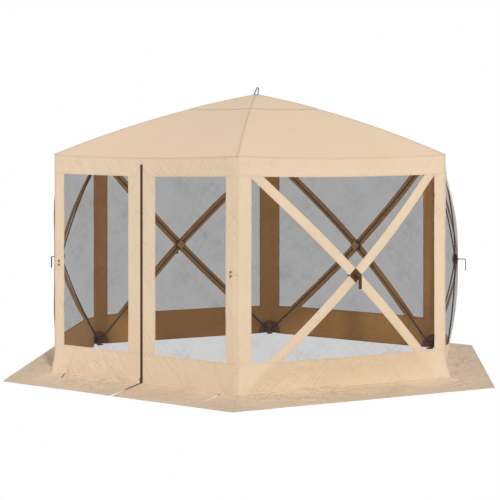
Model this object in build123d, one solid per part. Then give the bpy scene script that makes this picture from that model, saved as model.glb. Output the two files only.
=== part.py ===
from build123d import *
import math
import os

# Hub-style pop-up screen house, six sided. Millimetres, +Z up.
# Origin: on the ground under the roof hub. The door wall faces -Y.

# ---------------------------------------------------------------- driving dimensions
CORNER_R = 1829.0            # fabric corner to centre: 12 ft from corner to corner
EAVE_Z = 1820.0              # eave seam above the ground
APEX_Z = 2330.0              # top of the canopy fabric
HIP_BOW = 48.0               # how far the roof hips bow above a straight line
HUB_Z = EAVE_Z / 2           # height of the wall hubs
BULGE = 160.0                # how far a wall hub pops out of its wall's plane
BORDER = 0.15                # share of the way to the hub that stays nearly flat
BORDER_RISE = 7.0            # how far the wall has come out where the bulge starts
SKIRT_OUT = 371.0            # width of the ground skirt on the ground, square to the wall
SKIRT_RISE = 45.0            # height of the seam that joins the skirt to the wall
FABRIC_T = 1.5
MESH_T = 1.0

POST_W = 110.0               # solid fabric beside each corner
VALANCE_H = 152.0            # solid fabric under the eave
SILL_Z = 278.0               # bottom edge of the mesh windows
STRIP_W = 76.0               # fabric strips that cover the crossed poles
DOOR_BAND = 134.0            # solid fabric each side of the door zip

POLE_R = 5.5                 # 11 mm fibreglass pole
FERRULE_R = 7.0
PIN_R = 3.0
PIN_CLEARANCE = 0.05
WALL_POLE_BOW = 24.0
ROOF_POLE_BOW = 60.0

# Pivots at a corner: along the wall from the corner, inside the wall's plane, height.
WALL_PIVOT_ALONG = 50.0
WALL_PIVOT_IN = 26.0
WALL_PIVOT_END = 60.0        # above the ground, and below the eave
ROOF_PIVOT_IN = 60.0         # inward from the corner along the radius
ROOF_PIVOT_Z = 1796.0

WALL_TIP_R = 26.0            # pole end to hub axis, wall hub
WALL_TIP_OUT = BULGE - 24.0
ROOF_TIP_R = 88.0            # the same at the roof hub, whose poles shift more
ROOF_TIP_Z = 2276.0

FLAP_TOP_Z = 1781.0          # top end of the door zip
FLAP_FOOT_U = CORNER_R / 2 - POST_W
ZIP_ON_SKIRT = 198.0         # the zip runs on over the skirt this far
SKIRT_CUT_SLOPE = 0.35       # the flap's skirt narrows outward so that it can swing up
HINGE_GAP = 0.4              # between a flap and the fixed screen, square to the fold
FOOT_GAP = 2.0               # the wall fabric ends just above the ground

STRAP_BAR_OUT = BULGE + 11.0     # the bar that a wall hub's pull strap hangs on
STRAP_BAR_R = 2.0
STRAP_HALF_W = 12.5
STRAP_T = 5.0                    # two plies of webbing
STRAP_OUT = 56.0                 # how far it stands out before it hangs
STRAP_DROP = 98.0
LOOP_T = 8.0                     # the roof's pull loop, folded webbing
LOOP_HALF_W = 10.0
CANOPY_T = 2.0

WALL_HALF = CORNER_R / 2
WALL_APOTHEM = CORNER_R * math.cos(math.pi / 6)
HUB_WALLS = (1, 2, 3, 4, 5)  # wall 0 is the door wall
DOOR_WALL = 0
SIDES = 6
SKIRT_SLANT = math.hypot(SKIRT_OUT, SKIRT_RISE)
SKIRT_TILT = math.degrees(math.atan2(SKIRT_RISE, SKIRT_OUT))
HINGE_SHIFT = HINGE_GAP * math.hypot(FLAP_TOP_Z, FLAP_FOOT_U) / FLAP_TOP_Z

os.makedirs("parts", exist_ok=True)


# ---------------------------------------------------------------- frames
def wall_plane(wall):
    """Local frame of a wall: x along it, y up, z outward, origin on the ground at its middle."""
    a = math.radians(270 + 60 * wall)
    return Plane(
        origin=(WALL_APOTHEM * math.cos(a), WALL_APOTHEM * math.sin(a), 0),
        x_dir=(-math.sin(a), math.cos(a), 0),
        z_dir=(math.cos(a), math.sin(a), 0),
    )


def corner_plane(corner):
    """Local frame of a corner: x inward, y sideways, z up, origin on the ground at the corner."""
    a = math.radians(60 * corner)
    return Plane(
        origin=(CORNER_R * math.cos(a), CORNER_R * math.sin(a), 0),
        x_dir=(-math.cos(a), -math.sin(a), 0),
        z_dir=(0, 0, 1),
    )


def pole_plane(pivot, tip, outward):
    """Frame of a pole at rest: x from its pivot to its tip, y the hinge axis, z the bow side."""
    along = (tip - pivot).normalized()
    bow_side = (outward - along * outward.dot(along)).normalized()
    return Plane(origin=pivot, x_dir=along, z_dir=bow_side)


def place(plane, shape):
    return plane.location * shape


def save(name, solids):
    group = solids if isinstance(solids, list) else [solids]
    shapes = [s for item in group for s in (item.solids() if hasattr(item, "solids") else [item])]
    export_step(shapes[0] if len(shapes) == 1 else Compound(children=shapes), f"parts/{name}.step")


def block(x0, x1, y0, y1, z0, z1):
    return Pos((x0 + x1) / 2, (y0 + y1) / 2, (z0 + z1) / 2) * Box(x1 - x0, y1 - y0, z1 - z0)


def prism(points, z0, z1):
    """A straight prism on a polygon in the local XY plane."""
    return Pos(0, 0, z0) * extrude(make_face(Polyline(*points, close=True)), amount=z1 - z0)


# ---------------------------------------------------------------- poles and hubs
def pole(length, bow):
    """Bowed fibreglass pole with the eyed ferrule that turns on the corner bracket's pin."""
    arc = ThreePointArc((0, 0, 0), (length / 2, 0, bow), (length, 0, 0))
    rod = sweep(Plane(origin=arc @ 0, z_dir=arc % 0) * Circle(POLE_R), path=arc)
    lean = -math.degrees(math.atan2((arc % 0).Z, (arc % 0).X))
    ferrule = Rot(0, lean, 0) * Pos(24, 0, 0) * Rot(0, 90, 0) * Cylinder(FERRULE_R, 62)
    rod = rod - block(-20, 12, -20, 20, -20, 20)
    eye = Rot(90, 0, 0) * Cylinder(PIN_R + PIN_CLEARANCE, 40)
    return rod + ferrule - eye


def spider_hub(arms, radius, start, depth, floor_t, boss_r):
    """Moulded hub: a floor disc with one open channel for each pole. Its floor is at z = 0."""
    channel_half = POLE_R + 1.0
    rib_t = 3.0
    hub = Pos(0, 0, floor_t / 2) * Cylinder(radius, floor_t)
    hub += Pos(0, 0, (floor_t + depth) / 2) * Cylinder(boss_r, floor_t + depth)
    for i in range(arms):
        for side in (-1, 1):
            y0 = side * channel_half
            y1 = side * (channel_half + rib_t)
            rib = block(start, radius - 2, min(y0, y1), max(y0, y1), 0, floor_t + depth)
            hub += Rot(0, 0, 360 / arms * (i + 0.5)) * rib
    return hub


def bracket(column, pole_frames):
    """Corner moulding: a column with a slotted fork and a pin for each pole that it holds."""
    slot_half = FERRULE_R + 0.4
    for frame in pole_frames:
        column += place(frame, block(-30, 12, -11, 11, -9, 9))
    for frame in pole_frames:
        column -= place(frame, block(-11, 14, -slot_half, slot_half, -12, 12))
    for frame in pole_frames:
        column += place(frame, Rot(90, 0, 0) * Cylinder(PIN_R, 22))
    return column


def wall_pole_frames(wall):
    """Rest frame of each of a wall's four poles, by name."""
    plane = wall_plane(wall)
    outward = plane.z_dir
    frames = {}
    for row, end_y in (("upper", EAVE_Z - WALL_PIVOT_END), ("lower", WALL_PIVOT_END)):
        for column, sx in (("left", -1), ("right", 1)):
            pivot_x = sx * (WALL_HALF - WALL_PIVOT_ALONG)
            reach = math.hypot(pivot_x, end_y - HUB_Z)
            tip_x = pivot_x / reach * WALL_TIP_R
            tip_y = HUB_Z + (end_y - HUB_Z) / reach * WALL_TIP_R
            pivot = plane.from_local_coords(Vector(pivot_x, end_y, -WALL_PIVOT_IN))
            tip = plane.from_local_coords(Vector(tip_x, tip_y, WALL_TIP_OUT))
            frames[f"{row}_{column}"] = (pole_plane(pivot, tip, outward), (tip - pivot).length)
    return frames


def roof_pole_frame(corner):
    plane = corner_plane(corner)
    pivot = plane.from_local_coords(Vector(ROOF_PIVOT_IN, 0, ROOF_PIVOT_Z))
    tip = plane.from_local_coords(Vector(CORNER_R - ROOF_TIP_R, 0, ROOF_TIP_Z))
    return pole_plane(pivot, tip, Vector(0, 0, 1)), (tip - pivot).length


def make_poles():
    wall_pole = pole(wall_pole_frames(1)["upper_left"][1], WALL_POLE_BOW)
    for wall in HUB_WALLS:
        for name, (plane, _) in wall_pole_frames(wall).items():
            save(f"wall_pole_{wall}_{name}", place(plane, wall_pole))
    roof_pole = pole(roof_pole_frame(0)[1], ROOF_POLE_BOW)
    for corner in range(SIDES):
        save(f"roof_pole_{corner + 1}", place(roof_pole_frame(corner)[0], roof_pole))


def make_wall_hubs():
    floor_t = 4.0
    floor_out = WALL_TIP_OUT - POLE_R - 3.5 - floor_t
    hub = spider_hub(4, 48, 14, 23, floor_t, 12)
    top = floor_t + 23
    stud_len = BULGE - floor_out - top + 1
    hub += Pos(0, 0, top + stud_len / 2 - 0.5) * Cylinder(4, stud_len)
    plate_z = BULGE - floor_out + 0.5
    hub += block(-18, 18, -8, 8, plate_z, plate_z + 2)
    bar_z = STRAP_BAR_OUT - floor_out
    for side in (-1, 1):
        hub += block(15.5 * side - 1.5, 15.5 * side + 1.5, -4, 4, plate_z, bar_z + 4)
    hub += Pos(0, 0, bar_z) * Rot(0, 90, 0) * Cylinder(STRAP_BAR_R, 32)
    for wall in HUB_WALLS:
        save(f"wall_hub_{wall}", place(wall_plane(wall), Pos(0, HUB_Z, floor_out) * hub))


def make_pull_straps():
    """Webbing loop on each wall hub: it stands out stiffly, then hangs."""
    bend_r = 9.0
    path = FilletPolyline((3, 0), (STRAP_OUT, 0), (STRAP_OUT, -STRAP_DROP), radius=bend_r)
    ribbon = trace(path, line_width=STRAP_T)
    eye_outer = STRAP_BAR_R + PIN_CLEARANCE + 2.0
    profile = ribbon + Circle(eye_outer)
    strap = extrude(profile, amount=STRAP_HALF_W, both=True)
    strap -= Cylinder(STRAP_BAR_R + PIN_CLEARANCE, 60)
    for wall in HUB_WALLS:
        plane = wall_plane(wall)
        bar = plane.from_local_coords(Vector(0, HUB_Z, STRAP_BAR_OUT))
        frame = Plane(origin=bar, x_dir=plane.z_dir, z_dir=plane.x_dir * -1)
        up_side = frame.y_dir.Z
        turned = strap if up_side > 0 else Rot(180, 0, 0) * strap
        save(f"pull_strap_{wall}", place(frame, turned))


def make_roof_hub():
    floor_t = 4.0
    floor_z = ROOF_TIP_Z - POLE_R - 4 - floor_t
    depth = 27.0
    hub = Pos(0, 0, floor_z) * Rot(0, 0, 30) * spider_hub(SIDES, 104, 17, depth, floor_t, 12)
    top = floor_z + floor_t + depth
    hub += Pos(0, 0, (top + APEX_Z) / 2) * Cylinder(6, APEX_Z - top + 4)
    hub += Pos(0, 0, APEX_Z + 3) * Cylinder(22, 3)
    save("roof_hub", hub)

    # Pull loop: a strap that leans over on its plate.
    base_z = APEX_Z + 4.5
    height = 60.0
    outline = Spline(
        (-20, 0), (-6, 26), (4, 50), (12, height), (19, 50), (17, 24), (16, 0),
        tangents=((0.4, 1), (0, -1)),
    )
    loop = extrude(trace(outline, line_width=LOOP_T), amount=LOOP_HALF_W, both=True)
    loop &= block(-60, 60, 0, 200, -50, 50)
    loop_plane = Plane(origin=(0, 0, base_z), x_dir=(0.83, 0.56, 0), z_dir=(0.56, -0.83, 0))
    save("roof_loop", place(loop_plane, loop))


# ---------------------------------------------------------------- corner brackets
def bracket_column(z0, z1):
    return prism([(14, -14), (14, 14), (30, 24), (30, -24)], z0, z1)


def corner_wall_poles(corner, row):
    """Frames of the wall poles that meet at a corner, in its upper or its lower row."""
    neighbours = (((corner + 2) % SIDES, "left"), ((corner + 1) % SIDES, "right"))
    return [
        wall_pole_frames(wall)[f"{row}_{column}"][0]
        for wall, column in neighbours
        if wall in HUB_WALLS
    ]


def make_brackets():
    upper = []
    lower = []
    for corner in range(SIDES):
        plane = corner_plane(corner)
        top = place(plane, bracket_column(1736, 1811))
        foot = place(plane, bracket_column(4, 86) + Pos(42, 0, 3) * Cylinder(30, 6))
        upper.append(bracket(top, corner_wall_poles(corner, "upper") + [roof_pole_frame(corner)[0]]))
        lower.append(bracket(foot, corner_wall_poles(corner, "lower")))
    save("upper_brackets", upper)
    save("lower_brackets", lower)


# ---------------------------------------------------------------- wall fabric
def bulge_height(d):
    """Outward offset of a popped-out wall, from 0 at its edge to BULGE at its hub."""
    beyond = max(0.0, (d - BORDER) / (1 - BORDER))
    return BORDER_RISE * min(d / BORDER, 1.0) + (BULGE - BORDER_RISE) * (1 - (1 - beyond) ** 2)


def bulged_wall(inset):
    """Solid under a popped-out wall's outer face, moved in by inset. It runs past the edges."""
    edge_slope = BORDER_RISE / BORDER
    sections = [(1.2, -0.2 * edge_slope)]
    sections += [(1 - d, bulge_height(d)) for d in (BORDER, 0.25, 0.4, 0.6, 0.8)]
    sections.append((0.004, BULGE))
    faces = [
        Pos(0, HUB_Z, height - inset) * Rectangle(2 * WALL_HALF * size, EAVE_Z * size)
        for size, height in sections
    ]
    return loft(faces, ruled=True)


def rectangle_prism(x0, x1, y0, y1):
    return block(x0, x1, y0, y1, -100, 300)


def make_wall_regions():
    """Flat outlines of one wall's pieces, as prisms along its normal."""
    inner = WALL_HALF - POST_W
    window_top = EAVE_Z - VALANCE_H
    posts = [
        rectangle_prism(-WALL_HALF + 1, -inner, FOOT_GAP, EAVE_Z - 4),
        rectangle_prism(inner, WALL_HALF - 1, FOOT_GAP, EAVE_Z - 4),
    ]
    valance = rectangle_prism(-inner, inner, window_top, EAVE_Z - 4)
    sill = rectangle_prism(-inner, inner, FOOT_GAP, SILL_Z)
    window = rectangle_prism(-inner, inner, SILL_Z, window_top)
    slope = math.degrees(math.atan2(HUB_Z, WALL_HALF))
    centre = Pos(0, HUB_Z, 100)
    cross = [centre * Rot(0, 0, turn) * Box(4000, STRIP_W, 400) for turn in (slope, -slope)]
    return posts, valance, sill, window, cross


def make_walls():
    posts, valance, sill, window, cross = make_wall_regions()
    fabric = bulged_wall(0) - bulged_wall(FABRIC_T)
    mesh = bulged_wall(0) - bulged_wall(MESH_T)
    hub_hole = Pos(0, HUB_Z, 100) * Cylinder(5, 400)
    mesh_panes = (mesh & window) - cross[0] - cross[1]
    strips = []
    for x0, x1, y0, y1, diagonal in (
        (0, WALL_HALF, HUB_Z, EAVE_Z, cross[0]),
        (-WALL_HALF, 0, 0, HUB_Z, cross[0]),
        (-WALL_HALF, 0, HUB_Z, EAVE_Z, cross[1]),
        (0, WALL_HALF, 0, HUB_Z, cross[1]),
    ):
        quarter = rectangle_prism(x0, x1, y0, y1)
        strips.append((fabric & window & diagonal & quarter) - hub_hole)
    valances = []
    post_strips = []
    sills = []
    cross_strips = []
    for wall in HUB_WALLS:
        plane = wall_plane(wall)
        post_strips += [place(plane, fabric & region) for region in posts]
        valances.append(place(plane, fabric & valance))
        sills.append(place(plane, fabric & sill))
        cross_strips += [place(plane, strip) for strip in strips]
        save(f"mesh_window_{wall}", place(plane, mesh_panes))
    flat = block(-WALL_HALF, WALL_HALF, 0, EAVE_Z, -FABRIC_T, 0)
    door = wall_plane(DOOR_WALL)
    post_strips += [place(door, flat & region) for region in posts]
    fixed = flat & rectangle_prism(-FLAP_FOOT_U, FLAP_FOOT_U, FOOT_GAP, EAVE_Z - 4)
    fixed = fixed - flap_opening() - door_window(-1) - door_window(1)
    valances.append(place(door, fixed & rectangle_prism(-1000, 1000, SILL_Z, EAVE_Z)))
    sills.append(place(door, fixed & rectangle_prism(-1000, 1000, 0, SILL_Z)))
    save("corner_posts", post_strips)
    save("valance", valances)
    save("lower_bands", sills)
    save("cross_strips", cross_strips)


# ---------------------------------------------------------------- door
def flap_opening():
    """The triangle under both fold lines, cut out of the fixed fabric."""
    foot = FLAP_FOOT_U + HINGE_SHIFT
    return prism([(-foot, 0), (foot, 0), (HINGE_SHIFT, FLAP_TOP_Z), (-HINGE_SHIFT, FLAP_TOP_Z)], -50, 50)


def flap_triangle(side, t):
    """The part of one half of the door wall that swings, under its fold line, t thick."""
    trim_y = FLAP_TOP_Z - 12
    trim_x = FLAP_FOOT_U * (1 - trim_y / FLAP_TOP_Z) - HINGE_SHIFT
    # The toe is cut square to the fold line above the skirt's seam, so that it swings out over the skirt.
    toe_y = SKIRT_RISE + 6
    toe_x = FLAP_FOOT_U * (1 - toe_y / FLAP_TOP_Z) - HINGE_SHIFT
    heel_x = toe_x - (toe_y - 1) * FLAP_TOP_Z / FLAP_FOOT_U
    points = [(0.4, 1), (heel_x, 1), (toe_x, toe_y), (trim_x, trim_y), (0.4, trim_y)]
    shape = prism(points, -t, 0)
    return shape if side > 0 else mirror(shape, Plane.YZ)


def door_window(side):
    x0, x1 = sorted((side * DOOR_BAND, side * FLAP_FOOT_U))
    return block(x0, x1, SILL_Z, EAVE_Z - VALANCE_H, -50, 50)


def on_slope(shape):
    """Lays a shape on the skirt's slope. Its x runs along the wall, y outward and -z up."""
    return Rot(90, 0, 0) * Pos(0, 0, -SKIRT_RISE) * Rot(SKIRT_TILT, 0, 0) * shape


def flap_skirt(side):
    """The half of the door wall's ground skirt that swings with a flap, slit past the zip."""
    outer_x = FLAP_FOOT_U - SKIRT_CUT_SLOPE * SKIRT_OUT - 10
    points = [
        (0.4, -FABRIC_T), (0.4, ZIP_ON_SKIRT), (12, SKIRT_SLANT - 3),
        (outer_x, SKIRT_SLANT - 3), (FLAP_FOOT_U - 34, -FABRIC_T),
    ]
    shape = on_slope(prism(points, -FABRIC_T, 0))
    return shape if side > 0 else mirror(shape, Plane.YZ)


def zip_tape(side):
    """Half of the zip: woven tape with its row of teeth, down the door and out over the skirt."""
    tape_top = FLAP_TOP_Z - 36
    tape_w = 11
    teeth_w = 3.5
    bend_y = SKIRT_RISE + FABRIC_T
    tape = block(0.4, tape_w, bend_y, tape_top, 0, 1)
    tape += block(0.4, teeth_w, bend_y, tape_top, 0, 2.6)
    tape += on_slope(block(0.4, tape_w, 0, ZIP_ON_SKIRT, -FABRIC_T - 1, -FABRIC_T))
    tape += on_slope(block(0.4, teeth_w, 0, ZIP_ON_SKIRT, -FABRIC_T - 2.6, -FABRIC_T))
    return tape if side > 0 else mirror(tape, Plane.YZ)


def make_door():
    plane = wall_plane(DOOR_WALL)
    fixed_mesh = []
    for side, name in ((-1, "left"), (1, "right")):
        screen = block(-WALL_HALF, WALL_HALF, 0, EAVE_Z, -MESH_T, 0) & door_window(side)
        fixed_mesh.append(place(plane, screen - flap_opening()))
        flap = flap_triangle(side, FABRIC_T) - door_window(side)
        flap += flap_skirt(side)
        save(f"door_flap_{name}", place(plane, flap))
        mesh = flap_triangle(side, MESH_T) & door_window(side)
        save(f"door_mesh_{name}", place(plane, mesh))
        save(f"zip_tape_{name}", place(plane, zip_tape(side)))
    save("door_screen_fixed", fixed_mesh)

    slider = block(-9.5, -0.8, 70, 94, 3.0, 7.0)
    slider += block(-7.5, -2.8, 76, 88, 7.0, 9.5)
    slider += block(-7.5, -2.8, 50, 84, 9.5, 11.0)
    save("zip_slider", place(plane, slider))


def make_toggles():
    """Toggle barrels on the door posts, each on a short fabric tab, for tying a flap back."""
    plane = wall_plane(DOOR_WALL)
    toggles = []
    for side in (-1, 1):
        x = side * 855
        tab = block(x - 12, x + 12, 932, 948, 0, 1.5)
        keeper = block(x - 5, x + 5, 934, 946, 1.5, 4.5)
        barrel = Pos(x, 940, 9) * Rot(90, 0, 0) * Cylinder(5, 48)
        toggles.append(place(plane, tab + keeper + barrel))
    save("toggles", toggles)


# ---------------------------------------------------------------- roof and skirt
def hexagon(radius, z):
    return Pos(0, 0, z) * RegularPolygon(radius, SIDES, rotation=0)


def canopy_height(r):
    s = r / CORNER_R
    return EAVE_Z + (APEX_Z - EAVE_Z) * (1 - s) + 4 * HIP_BOW * s * (1 - s)


def make_canopy():
    """Six sewn panels, one over each wall, each bowed in steps from the eave to the vent ring."""
    radii = [CORNER_R, 1400, 950, 600, 300, 100, 12]
    top = loft([hexagon(r, canopy_height(r)) for r in radii], ruled=True)
    shell = top - Pos(0, 0, -CANOPY_T) * top
    shell -= Pos(0, 0, APEX_Z) * Cylinder(8, 200)
    reach = 2 * CORNER_R
    spread = reach * math.tan(math.pi / SIDES)
    wedge = prism([(0, 0), (reach, spread), (reach, -spread)], 0, 3000)
    save("roof_canopy", [shell & Rot(0, 0, 30 + 60 * sector) * wedge for sector in range(SIDES)])


def make_skirt():
    """Sloping ground skirt: a panel outside each wall, and a gusset each side of the door."""
    outer_half = WALL_HALF + SKIRT_OUT * math.tan(math.pi / 6)
    gap = 3.0  # clears the walls, which have started to bulge at the seam's height
    panel = prism(
        [(-WALL_HALF, gap), (WALL_HALF, gap), (outer_half, SKIRT_SLANT), (-outer_half, SKIRT_SLANT)],
        -FABRIC_T, 0,
    )
    cut_x = FLAP_FOOT_U - SKIRT_CUT_SLOPE * SKIRT_OUT
    gusset = prism(
        [(FLAP_FOOT_U - 24, gap), (WALL_HALF, gap), (outer_half, SKIRT_SLANT), (cut_x, SKIRT_SLANT)],
        -FABRIC_T, 0,
    )
    pieces = [place(wall_plane(wall), on_slope(panel)) for wall in HUB_WALLS]
    for shape in (gusset, mirror(gusset, Plane.YZ)):
        pieces.append(place(wall_plane(DOOR_WALL), on_slope(shape)))
    save("ground_skirt", pieces)


make_poles()
make_wall_hubs()
make_pull_straps()
make_roof_hub()
make_brackets()
make_walls()
make_door()
make_toggles()
make_canopy()
make_skirt()
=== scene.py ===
"""Six-sided hub screen house: cloth, netting, trims, materials and light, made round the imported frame.

Every wall has its own flat coordinates: u runs along the wall from its middle, z is the height, and n stands
out of the wall's plane. Wall 0 is the door, and walls 1 to 5 have a hub that pops outward. Metres throughout.
"""

import math

import bmesh
import bpy
import numpy as np
from mathutils import Matrix, Vector, noise


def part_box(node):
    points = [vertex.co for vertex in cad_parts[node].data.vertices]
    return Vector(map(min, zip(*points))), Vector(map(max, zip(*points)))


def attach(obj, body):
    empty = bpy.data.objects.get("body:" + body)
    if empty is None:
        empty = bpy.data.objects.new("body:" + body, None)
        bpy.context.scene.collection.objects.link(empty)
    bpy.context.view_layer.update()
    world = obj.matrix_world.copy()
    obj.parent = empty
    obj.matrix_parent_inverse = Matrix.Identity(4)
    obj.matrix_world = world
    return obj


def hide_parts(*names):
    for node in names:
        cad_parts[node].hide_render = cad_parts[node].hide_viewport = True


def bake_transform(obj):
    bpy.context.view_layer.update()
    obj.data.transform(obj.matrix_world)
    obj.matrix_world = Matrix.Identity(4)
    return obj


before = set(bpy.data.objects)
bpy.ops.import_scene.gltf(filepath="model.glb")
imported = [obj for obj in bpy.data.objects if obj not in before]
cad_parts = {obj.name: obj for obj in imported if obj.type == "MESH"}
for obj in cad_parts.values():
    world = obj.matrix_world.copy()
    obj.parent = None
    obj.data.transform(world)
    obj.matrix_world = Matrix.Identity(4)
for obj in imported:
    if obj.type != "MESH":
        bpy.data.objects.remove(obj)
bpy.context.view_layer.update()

# ---------------------------------------------------------------- sizes

DOOR = 0
HUB_WALLS = range(1, 6)
SIDES = 6

CORNER_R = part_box("roof_canopy")[1].x  # centre to a corner, at the eave
HALF = CORNER_R / 2  # half a wall's length
APOTHEM = CORNER_R * math.cos(math.pi / SIDES)
EAVE_Z = 1.820
APEX_Z = 2.330
HIP_BOW = 0.048  # how far the bowed roof poles lift the middle of a hip
HUB_Z = 0.910
BULGE = 0.160  # a wall hub's height out of the wall's plane
BORDER = 0.15  # share of the way to the hub that stays nearly flat
BORDER_RISE = 0.007

VALANCE_Z = EAVE_Z - 0.152  # the valance's lower edge
SILL_Z = 0.278  # the lower band's upper edge
POST_U = HALF - 0.110  # the posts' inner edge
WALL_CORNERS = ((HALF, EAVE_Z), (-HALF, EAVE_Z), (-HALF, 0.0), (HALF, 0.0))  # in u and z, anticlockwise
STRIP_W = 0.076
BAND_W = 0.134  # cloth each side of the zip
SKIRT_OUT = 0.371
FOLD_TOP = (0.001, 1.781)  # the door flaps' fold line, in u and z
FOLD_FOOT = (0.8045, 0.0)
TOE_Z = 0.051  # the flaps' toes are cut square to the fold line, so that they swing out over the skirt
WALL_FOOT = 0.004  # height of the walls' lowest edge
SLIT_FROM = 0.198  # where the zip ends on the skirt and the slit starts
SLIT_OPEN = 0.012
# A flap takes a piece of skirt with it. The cut round that piece runs from the foot of the fold line to CUT_END_U
# at the hem, and each of its edges stands back from it: (at the wall, at the hem).
CUT_END_U = FOLD_FOOT[0] - 0.35 * SKIRT_OUT
FLAP_SKIRT_BACK, GUSSET_BACK = (0.027, 0.005), (0.016, 0.004)

EAVE_SAG = 0.020  # how far the eave hangs between two corners
ROOF_SAG = 0.022
FOLD_RISE = 0.045  # height of the seam where the skirt is sewn to a wall
CORNER_ROUND = 0.007
CORNER_REACH = 0.030
# How far each corner's foot spreads over its bracket, how far along a wall, and up to what height.
CORNER_FLARE = (0.034, 0.024, 0.058, 0.034, 0.034, 0.030)
FLARE_REACH, DOOR_FLARE_REACH, FLARE_TOP = 0.16, 0.105, 0.30
HELD_SHARE = 0.105  # the brackets reach this far in, and their cloth stays with them
CAP_SHARE = 0.345  # the cap's size as a share of the canopy
CANOPY_START = 0.010  # share of the way down a roof panel where its cloth starts, at the hub

CLOTH = 0.0010  # thickness of the cloth as it is drawn
NET = 0.0006
LAP = 0.010  # how far a cloth reaches under its neighbour
NET_LAP = 0.002
PIPING_R = 0.0034
# Depth of each layer's outer face below the CAD wall's outer face.
VALANCE_LAYER, POST_LAYER, BAND_LAYER, STRIP_LAYER, NET_LAYER = 0.0004, 0.0014, 0.0018, 0.0030, 0.0044
# Grid spacing of the flat panels.
BAND_STEP, POST_STEP, STRIP_STEP, SKIRT_STEP, PATCH_STEP = 0.013, 0.014, 0.0127, 0.012, 0.012
NET_STEP, ROOF_STEP, CAP_STEP = 0.024, 0.024, 0.020


# ---------------------------------------------------------------- where things are


def wall_axes(wall):
    angle = math.radians(270 + 60 * wall)
    along = Vector((-math.sin(angle), math.cos(angle), 0))
    out = Vector((math.cos(angle), math.sin(angle), 0))
    return along, out


def corner_ray(wall, u):
    """Direction from the middle of the shelter to the corner on u's side of a wall."""
    along, out = wall_axes(wall)
    side = math.copysign(math.sin(math.pi / SIDES), u)
    return out * math.cos(math.pi / SIDES) + along * side


def smooth(x):
    """Eases from 0 to 1 as x does, and stays there beyond."""
    x = min(max(x, 0.0), 1.0)
    return x * x * (3 - 2 * x)


def edge_share(u, z):
    """0 at a wall's edges and 1 at its hub, as on a four-sided tent with softly rounded hips."""
    up = z / HUB_Z if z < HUB_Z else (EAVE_Z - z) / (EAVE_Z - HUB_Z)
    side = (HALF - abs(u)) / HALF
    lower, higher = min(up, side), max(up, side)
    width = 0.13 * (1 - lower) * smooth((lower - 0.12) / 0.30)
    blend = max(0.0, 1 - (higher - lower) / width) if width > 1e-6 else 0.0
    return max(0.0, lower - width * blend * blend / 4)


def bulge(share):
    """How far a wall stands out at an edge share: a nearly flat border, then a bow that rises to the hub."""
    ease = 0.07
    past = min(max(share - BORDER + ease, 0.0), 2 * ease)
    beyond = (past * past / (4 * ease) + max(0.0, share - BORDER - ease)) / (1 - BORDER)
    return BORDER_RISE * min(share / BORDER, 1.0) + (BULGE - BORDER_RISE) * (1 - (1 - beyond) ** 2)


def folds(x, y, pitch, slant, seed):
    """Soft narrow ridges from 0 to 1, about pitch apart, running at slant radians to x."""
    c, s = math.cos(slant), math.sin(slant)
    along = (x * c + y * s) / (pitch * 4.5)
    across = (y * c - x * s) / pitch
    ridge = max(0.0, 1 - 3.0 * abs(noise.noise(Vector((along, across, seed)))))
    patch = 0.45 + 1.5 * noise.noise(Vector((x * 2.3, y * 3.1, seed + 7.7)))
    return ridge * ridge * min(max(patch, 0.0), 1.0)


def wall_relief(wall, u, z):
    """Creases of the sewn cloth: strongest round a window, faint inside it, none at the edges."""
    seed = 11.3 * wall + 2.1
    window_u = (POST_U - abs(u)) / 0.05
    window_z = min(VALANCE_Z - z, z - SILL_Z) / 0.05
    inside = smooth(min(window_u, window_z))
    edge = smooth((HALF - abs(u)) / 0.05) * smooth((EAVE_Z - z) / 0.03) * smooth((z - 0.02) / 0.06)
    if wall == DOOR:
        edge *= smooth((abs(u) - 0.012) / 0.05) * smooth(abs(abs(u) - fold_u(z)) / 0.04)
    lean = 1 if u > 0 else -1
    tension = folds(u, z, 0.055, lean * 1.02, seed) + 0.7 * folds(u, z, 0.085, -lean * 0.85, seed + 3)
    slack = noise.noise(Vector((u * 3.1, z * 2.6, seed + 5)))
    return edge * (0.0048 * tension * (1 - 0.80 * inside) + 0.0024 * slack)


def wall_point(wall, u, z, depth=0.0):
    """A point on a wall's outer face, depth metres inside it."""
    along, out = wall_axes(wall)
    n = -depth + wall_relief(wall, u, z)
    if wall != DOOR:
        n += bulge(edge_share(u, z))
    hang = EAVE_SAG * (1 - (u / HALF) ** 2) * max(0.0, (z - HUB_Z) / (EAVE_Z - HUB_Z)) ** 2
    turn = max(0.0, 1 - (HALF - abs(u)) / CORNER_REACH) ** 2 * CORNER_ROUND
    flare = corner_flare(wall, u) * smooth(1 - z / FLARE_TOP) ** 2
    at_corner = corner_ray(wall, u) * (flare - turn)
    return out * (APOTHEM + n) + along * u + at_corner + Vector((0, 0, z - hang))


def corner_flare(wall, u):
    """How far a wall's foot spreads at u: most at the corner, nothing once past its bracket."""
    reach = DOOR_FLARE_REACH if wall == DOOR else FLARE_REACH
    corner = (wall + (1 if u > 0 else 0)) % SIDES
    return CORNER_FLARE[corner] * smooth(1 - (HALF - abs(u)) / reach)


def wall_share(u, z):
    """How far a point of a hub wall follows its hub: none over the corner brackets, all of it at the hub."""
    return min(max((edge_share(u, z) - HELD_SHARE) / (1 - HELD_SHARE), 0.0), 1.0)


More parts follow.
